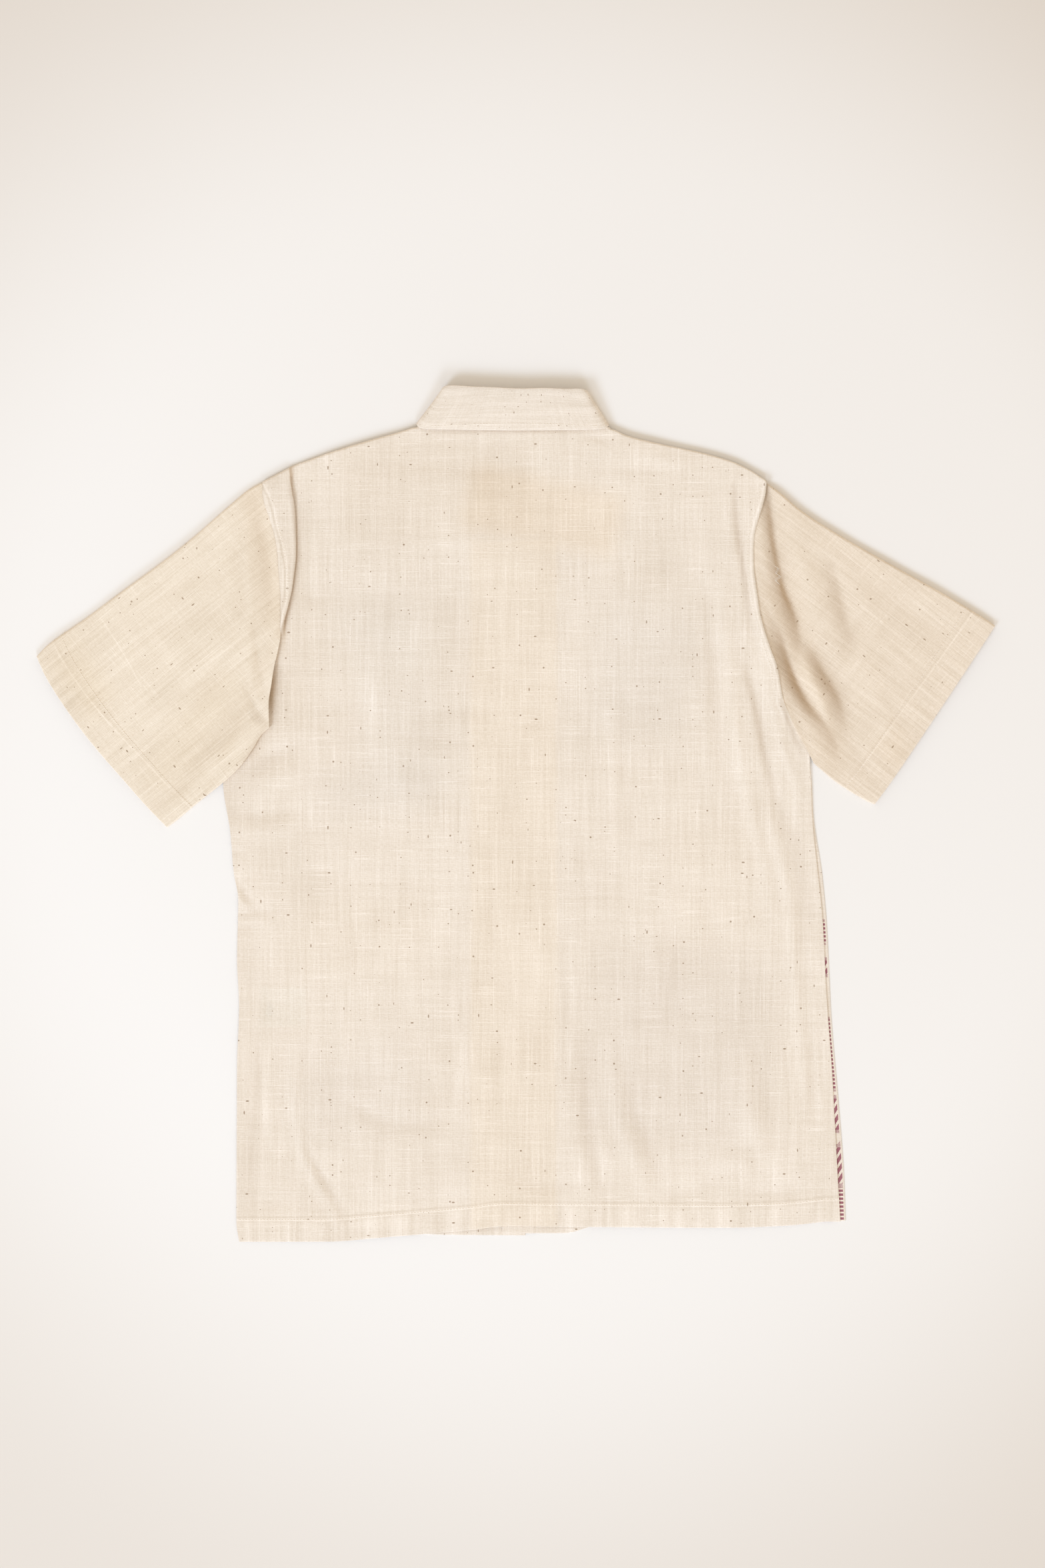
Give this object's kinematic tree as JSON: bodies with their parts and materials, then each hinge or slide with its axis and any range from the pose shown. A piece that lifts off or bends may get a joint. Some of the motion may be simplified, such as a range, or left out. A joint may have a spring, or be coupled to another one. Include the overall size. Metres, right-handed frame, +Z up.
{
  "type": "short-sleeved stand-collar shirt laid flat",
  "caption": "Hollow short-sleeved shirt with a stand collar and a full front opening, laid flat with its back up.",
  "frame": {"origin": "centre of the shirt's own box, on the surface that it lies on", "axes": "+Y towards the collar, +Z up out of the back, +X towards the wearer's right sleeve"},
  "size_m": [0.8922, 0.7954, 0.0118],
  "materials": {
    "body_cloth": "unbleached slubbed handloom cotton, plain weave",
    "sleeve_cloth": "the same cotton, a little warmer, grain along the sleeve",
    "collar_cloth": "the same cotton, stiffened, grain along the band",
    "button": "satin four-hole shirt button"
  },
  "bodies": {
    "root": {"back": "body_cloth", "front_left": "body_cloth", "front_right": "body_cloth", "sleeve_left": "sleeve_cloth", "sleeve_right": "sleeve_cloth", "collar": "collar_cloth", "button_1": "button", "button_2": "button", "button_3": "button", "button_4": "button", "button_5": "button", "button_6": "button"}
  },
  "joints": []
}
